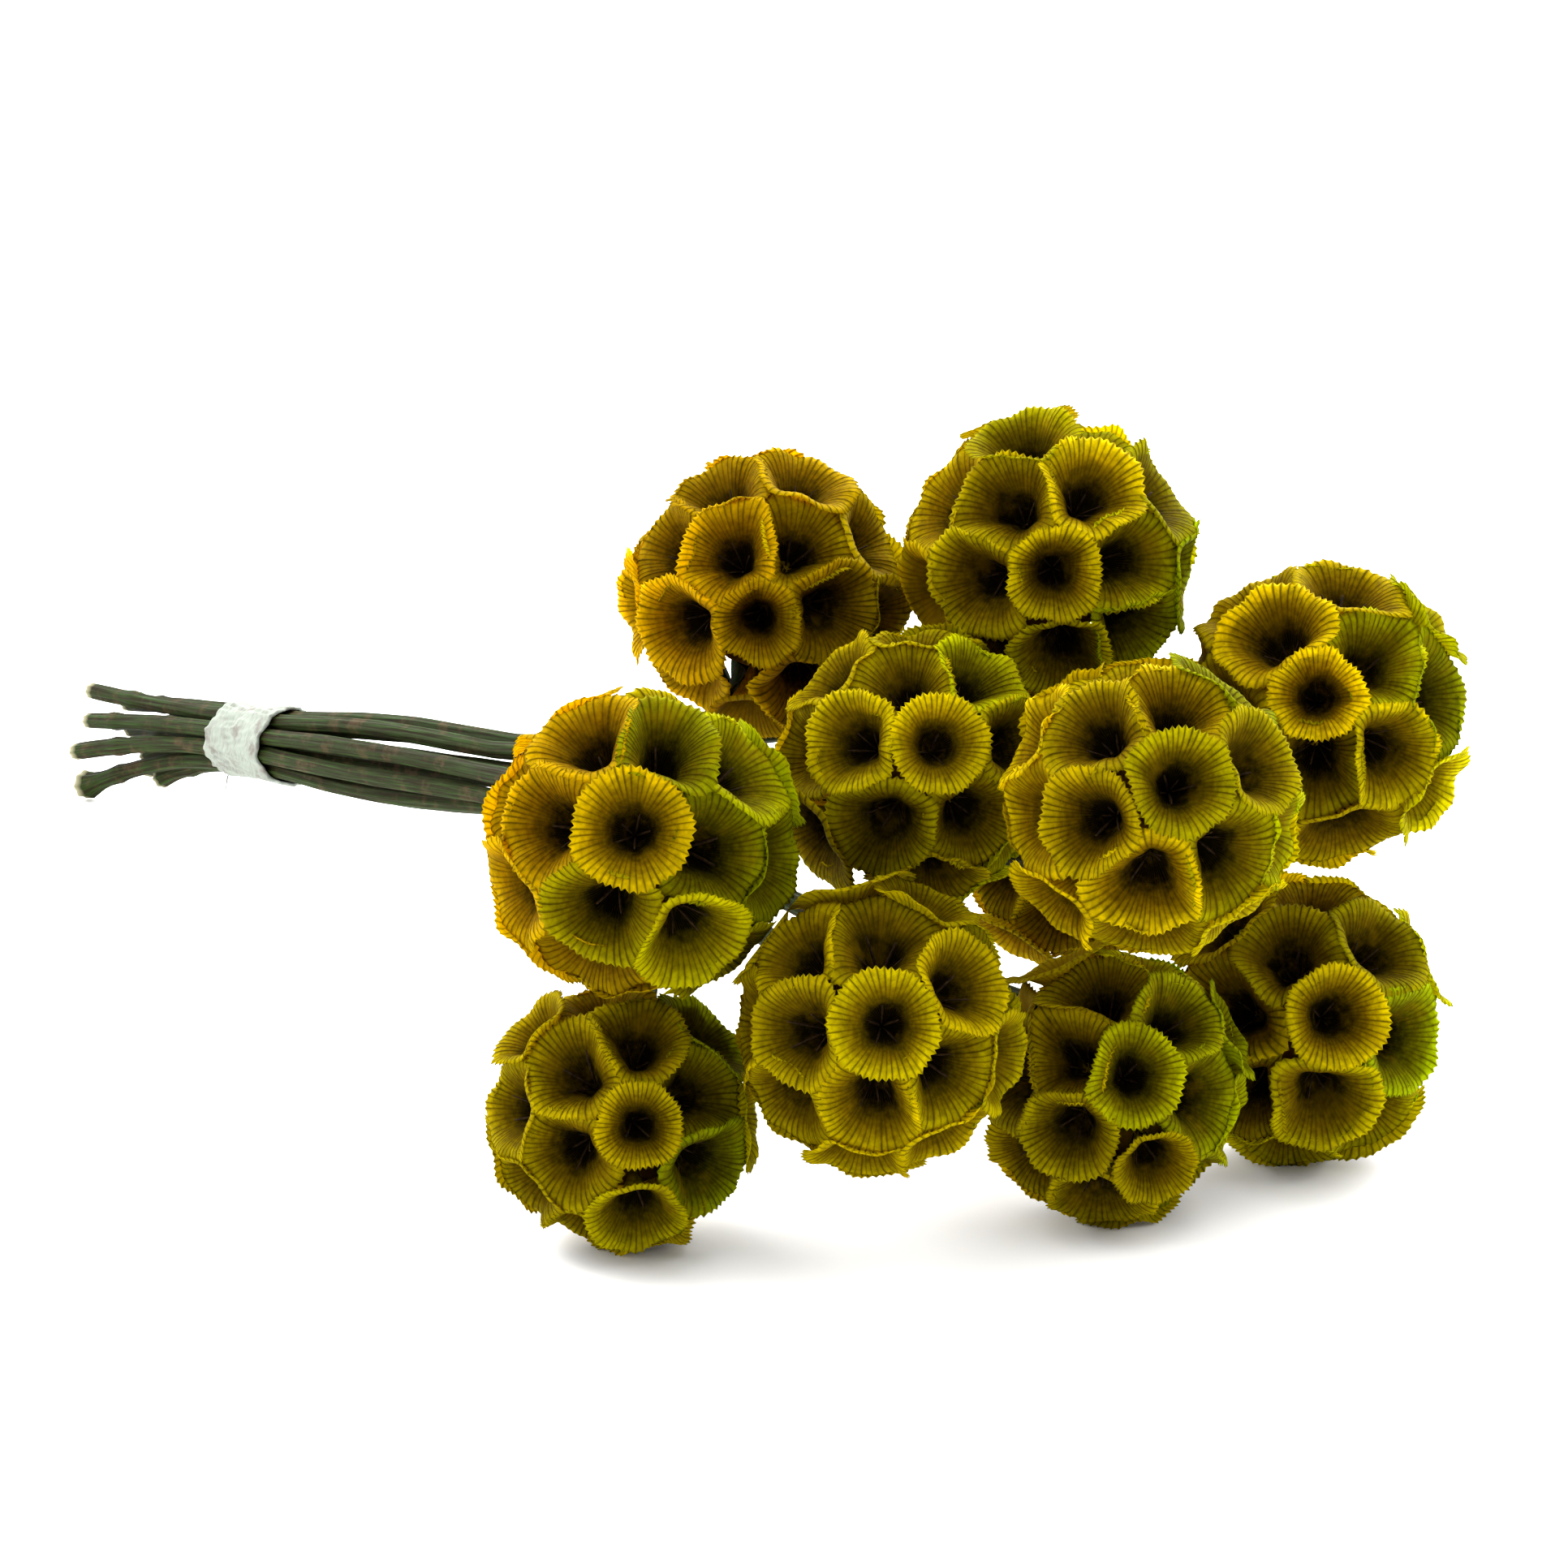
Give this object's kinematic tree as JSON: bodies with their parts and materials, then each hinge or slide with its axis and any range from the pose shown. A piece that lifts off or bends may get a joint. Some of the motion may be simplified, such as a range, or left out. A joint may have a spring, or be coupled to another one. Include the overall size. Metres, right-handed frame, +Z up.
{
  "type": "dried scabiosa bunch",
  "caption": "Tied bunch of dried drumstick scabiosa: round heads of ribbed papery cups on slim green stems, fanning out from a wrap of off-white crepe tape near the cut ends.",
  "frame": {"origin": "Centre of the bounding box in plan, on the surface that the bunch lies on.", "axes": "+X runs along the bunch from the cut ends to the heads, +Y is to the left as seen from the cut ends, +Z is up."},
  "size_m": [0.376, 0.163, 0.1251],
  "materials": {
    "cups_gold": "dry papery membrane, golden, brown ribs",
    "cups_olive": "dry papery membrane, olive yellow, brown ribs",
    "cups_green": "dry papery membrane, green yellow, brown ribs",
    "stem": "dry matt grey-green stalk with brown streaks",
    "tape": "matt crinkled crepe tape"
  },
  "bodies": {
    "root": {"head_01": "cups_gold", "stem_01": "stem", "head_02": "cups_olive", "stem_02": "stem", "head_03": "cups_olive", "stem_03": "stem", "head_04": "cups_gold", "stem_04": "stem", "head_05": "cups_green", "stem_05": "stem", "head_06": "cups_olive", "stem_06": "stem", "head_07": "cups_green", "stem_07": "stem", "head_08": "cups_green", "stem_08": "stem", "head_09": "cups_green", "stem_09": "stem", "head_10": "cups_olive", "stem_10": "stem", "head_11": "cups_olive", "stem_11": "stem", "tie": "tape"}
  },
  "joints": []
}
